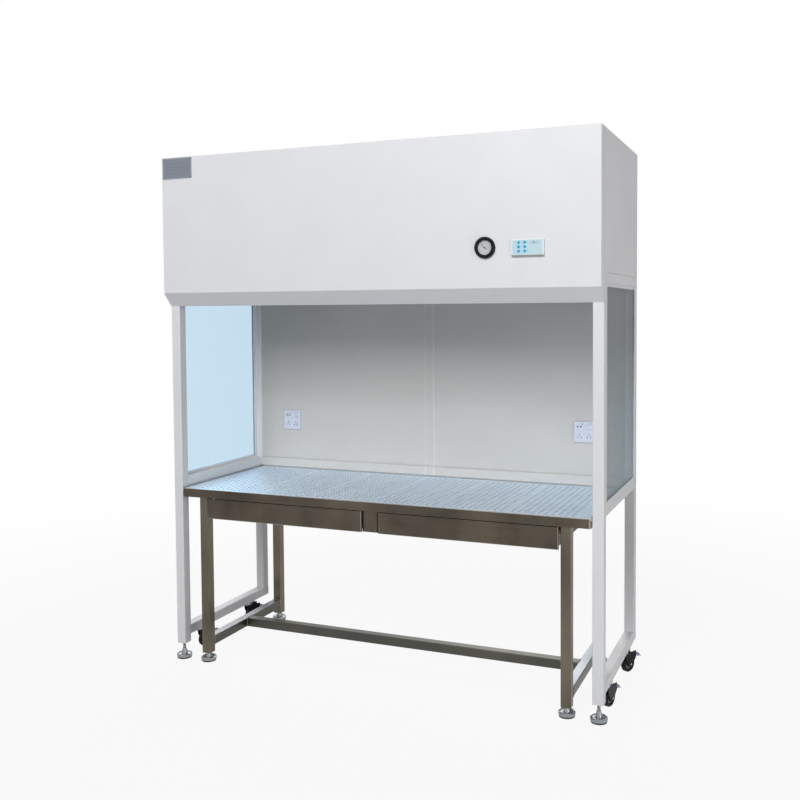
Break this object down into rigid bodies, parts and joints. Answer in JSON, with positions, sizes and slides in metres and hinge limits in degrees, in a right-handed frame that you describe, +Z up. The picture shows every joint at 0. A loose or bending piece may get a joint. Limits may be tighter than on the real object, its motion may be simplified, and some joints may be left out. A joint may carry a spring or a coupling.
{
  "type": "laminar flow hood",
  "caption": "Vertical laminar flow clean bench: fan and filter cabinet on a white tube frame with glass sides, over a perforated stainless bench with drawers, on feet and casters.",
  "frame": {"origin": "on the floor under the middle of the cabinet", "axes": "+Z up, +X to the user's right as they face the bench, +Y to the rear"},
  "size_m": [1.8442, 0.694, 2.07],
  "materials": {
    "white_paint": "smooth satin powder coat",
    "stainless": "brushed stainless sheet and tube",
    "zinc": "galvanised sheet",
    "filter_media": "folded glass-fibre medium in a light frame",
    "motor_casting": "dark painted casting",
    "clear_glass": "clear float glass",
    "lamp_glass": "white lamp glass",
    "socket_plastic": "smooth plastic",
    "panel_plastic": "printed membrane on a plastic case",
    "black_plastic": "smooth black plastic",
    "needle_red": "painted pointer",
    "key_blue": "domed soft key",
    "foot_zinc": "bright zinc plate over a dark rubber sole",
    "caster_chrome": "bright zinc plate",
    "wheel_rubber": "black rubber tyre on a grey hub"
  },
  "bodies": {
    "root": {"bench_frame": "stainless", "bench_top": "stainless", "blower_deck": "zinc", "blower_motors": "motor_casting", "blower_scroll_left": "zinc", "blower_scroll_right": "zinc", "cabinet_shell": "white_paint", "caster_plates": "zinc", "control_panel": "panel_plastic", "cross_rails": "white_paint", "diffuser_grille": "white_paint", "drawer_divider": "stainless", "drawer_runners": "stainless", "filter_deck": "zinc", "front_cover": "white_paint", "gauge_housing": "black_plastic", "gauge_lens": "clear_glass", "hepa_filters": "filter_media", "lamp_battens": "white_paint", "lamps": "lamp_glass", "power_inlet": "black_plastic", "prefilters": "filter_media", "rear_panels": "white_paint", "side_frame_left": "white_paint", "side_frame_right": "white_paint", "sockets": "socket_plastic", "window_beads": "white_paint", "window_left": "clear_glass", "window_right": "clear_glass"},
    "bench_foot_front_left": {"bench_foot_front_left": "foot_zinc"},
    "bench_foot_front_right": {"bench_foot_front_right": "foot_zinc"},
    "bench_foot_rear_left": {"bench_foot_rear_left": "foot_zinc"},
    "bench_foot_rear_right": {"bench_foot_rear_right": "foot_zinc"},
    "caster_brake_front_left": {"caster_brake_front_left": "caster_chrome"},
    "caster_brake_front_right": {"caster_brake_front_right": "caster_chrome"},
    "caster_brake_rear_left": {"caster_brake_rear_left": "caster_chrome"},
    "caster_brake_rear_right": {"caster_brake_rear_right": "caster_chrome"},
    "caster_fork_front_left": {"caster_fork_front_left": "caster_chrome"},
    "caster_fork_front_right": {"caster_fork_front_right": "caster_chrome"},
    "caster_fork_rear_left": {"caster_fork_rear_left": "caster_chrome"},
    "caster_fork_rear_right": {"caster_fork_rear_right": "caster_chrome"},
    "caster_wheel_front_left": {"caster_wheel_front_left": "wheel_rubber"},
    "caster_wheel_front_right": {"caster_wheel_front_right": "wheel_rubber"},
    "caster_wheel_rear_left": {"caster_wheel_rear_left": "wheel_rubber"},
    "caster_wheel_rear_right": {"caster_wheel_rear_right": "wheel_rubber"},
    "drawer_left": {"drawer_left": "stainless"},
    "drawer_right": {"drawer_right": "stainless"},
    "gauge_needle": {"gauge_needle": "needle_red"},
    "impeller_left": {"impeller_left": "zinc"},
    "impeller_right": {"impeller_right": "zinc"},
    "key_1": {"key_1": "key_blue"},
    "key_2": {"key_2": "key_blue"},
    "key_3": {"key_3": "key_blue"},
    "key_4": {"key_4": "key_blue"},
    "key_5": {"key_5": "key_blue"},
    "key_6": {"key_6": "key_blue"},
    "post_foot_left": {"post_foot_left": "foot_zinc"},
    "post_foot_right": {"post_foot_right": "foot_zinc"},
    "socket_rocker_left": {"socket_rocker_left": "socket_plastic"},
    "socket_rocker_right": {"socket_rocker_right": "socket_plastic"}
  },
  "joints": [
    {"name": "drawer_left_slide", "type": "slide", "parent": "root", "child": "drawer_left", "axis": [0, -1, 0], "range_m": [0, 0.36]},
    {"name": "drawer_right_slide", "type": "slide", "parent": "root", "child": "drawer_right", "axis": [0, -1, 0], "range_m": [0, 0.36]},
    {"name": "impeller_left_spin", "type": "hinge", "parent": "root", "child": "impeller_left", "pos_m": [-0.445, 0.0225, 1.892], "axis": [1, 0, 0], "continuous": true},
    {"name": "socket_rocker_left_tip", "type": "hinge", "parent": "root", "child": "socket_rocker_left", "pos_m": [-0.6685, 0.303, 0.969], "axis": [1, 0, 0], "range_deg": [0, 14]},
    {"name": "impeller_right_spin", "type": "hinge", "parent": "root", "child": "impeller_right", "pos_m": [0.445, 0.0225, 1.892], "axis": [1, 0, 0], "continuous": true},
    {"name": "socket_rocker_right_tip", "type": "hinge", "parent": "root", "child": "socket_rocker_right", "pos_m": [0.7165, 0.303, 0.969], "axis": [1, 0, 0], "range_deg": [0, 14]},
    {"name": "key_1_press", "type": "slide", "parent": "root", "child": "key_1", "axis": [0, 1, 0], "range_m": [0, 0.001], "stiffness_N_per_m": 300},
    {"name": "key_2_press", "type": "slide", "parent": "root", "child": "key_2", "axis": [0, 1, 0], "range_m": [0, 0.001], "stiffness_N_per_m": 300},
    {"name": "key_3_press", "type": "slide", "parent": "root", "child": "key_3", "axis": [0, 1, 0], "range_m": [0, 0.001], "stiffness_N_per_m": 300},
    {"name": "key_4_press", "type": "slide", "parent": "root", "child": "key_4", "axis": [0, 1, 0], "range_m": [0, 0.001], "stiffness_N_per_m": 300},
    {"name": "key_5_press", "type": "slide", "parent": "root", "child": "key_5", "axis": [0, 1, 0], "range_m": [0, 0.001], "stiffness_N_per_m": 300},
    {"name": "key_6_press", "type": "slide", "parent": "root", "child": "key_6", "axis": [0, 1, 0], "range_m": [0, 0.001], "stiffness_N_per_m": 300},
    {"name": "gauge_needle_turn", "type": "hinge", "parent": "root", "child": "gauge_needle", "pos_m": [0.4855, -0.344, 1.6675], "axis": [0, 1, 0], "range_deg": [0, 90], "stiffness_Nm_per_rad": 0.001},
    {"name": "post_foot_left_screw", "type": "slide", "parent": "root", "child": "post_foot_left", "axis": [0, 0, -1], "range_m": [-0.02, 0.02]},
    {"name": "bench_foot_front_left_screw", "type": "slide", "parent": "root", "child": "bench_foot_front_left", "axis": [0, 0, -1], "range_m": [0, 0.025]},
    {"name": "bench_foot_rear_left_screw", "type": "slide", "parent": "root", "child": "bench_foot_rear_left", "axis": [0, 0, -1], "range_m": [0, 0.025]},
    {"name": "post_foot_right_screw", "type": "slide", "parent": "root", "child": "post_foot_right", "axis": [0, 0, -1], "range_m": [-0.02, 0.02]},
    {"name": "bench_foot_front_right_screw", "type": "slide", "parent": "root", "child": "bench_foot_front_right", "axis": [0, 0, -1], "range_m": [0, 0.025]},
    {"name": "bench_foot_rear_right_screw", "type": "slide", "parent": "root", "child": "bench_foot_rear_right", "axis": [0, 0, -1], "range_m": [0, 0.025]},
    {"name": "caster_front_left_swivel", "type": "hinge", "parent": "root", "child": "caster_fork_front_left", "pos_m": [-0.88, -0.163, 0.084], "axis": [0, 0, 1], "continuous": true},
    {"name": "caster_front_left_roll", "type": "hinge", "parent": "caster_fork_front_left", "child": "caster_wheel_front_left", "pos_m": [-0.86873, -0.14181, 0.0355], "axis": [0.8829, -0.4695, 0], "continuous": true},
    {"name": "caster_front_left_brake", "type": "hinge", "parent": "caster_fork_front_left", "child": "caster_brake_front_left", "pos_m": [-0.85559, -0.11709, 0.066], "axis": [0.8829, -0.4695, 0], "range_deg": [-14, 0]},
    {"name": "caster_front_right_swivel", "type": "hinge", "parent": "root", "child": "caster_fork_front_right", "pos_m": [0.88, -0.163, 0.084], "axis": [0, 0, 1], "continuous": true},
    {"name": "caster_front_right_roll", "type": "hinge", "parent": "caster_fork_front_right", "child": "caster_wheel_front_right", "pos_m": [0.88662, -0.13993, 0.0355], "axis": [0.9613, -0.2756, 0], "continuous": true},
    {"name": "caster_front_right_brake", "type": "hinge", "parent": "caster_fork_front_right", "child": "caster_brake_front_right", "pos_m": [0.89433, -0.11301, 0.066], "axis": [0.9613, -0.2756, 0], "range_deg": [-14, 0]},
    {"name": "caster_rear_left_swivel", "type": "hinge", "parent": "root", "child": "caster_fork_rear_left", "pos_m": [-0.88, 0.191, 0.084], "axis": [0, 0, 1], "continuous": true},
    {"name": "caster_rear_left_roll", "type": "hinge", "parent": "caster_fork_rear_left", "child": "caster_wheel_rear_left", "pos_m": [-0.86948, 0.21257, 0.0355], "axis": [0.8988, -0.4384, 0], "continuous": true},
    {"name": "caster_rear_left_brake", "type": "hinge", "parent": "caster_fork_rear_left", "child": "caster_brake_rear_left", "pos_m": [-0.8572, 0.23774, 0.066], "axis": [0.8988, -0.4384, 0], "range_deg": [-14, 0]},
    {"name": "caster_rear_right_swivel", "type": "hinge", "parent": "root", "child": "caster_fork_rear_right", "pos_m": [0.88, 0.191, 0.084], "axis": [0, 0, 1], "continuous": true},
    {"name": "caster_rear_right_roll", "type": "hinge", "parent": "caster_fork_rear_right", "child": "caster_wheel_rear_right", "pos_m": [0.89052, 0.21257, 0.0355], "axis": [0.8988, -0.4384, 0], "continuous": true},
    {"name": "caster_rear_right_brake", "type": "hinge", "parent": "caster_fork_rear_right", "child": "caster_brake_rear_right", "pos_m": [0.9028, 0.23774, 0.066], "axis": [0.8988, -0.4384, 0], "range_deg": [-14, 0]}
  ]
}
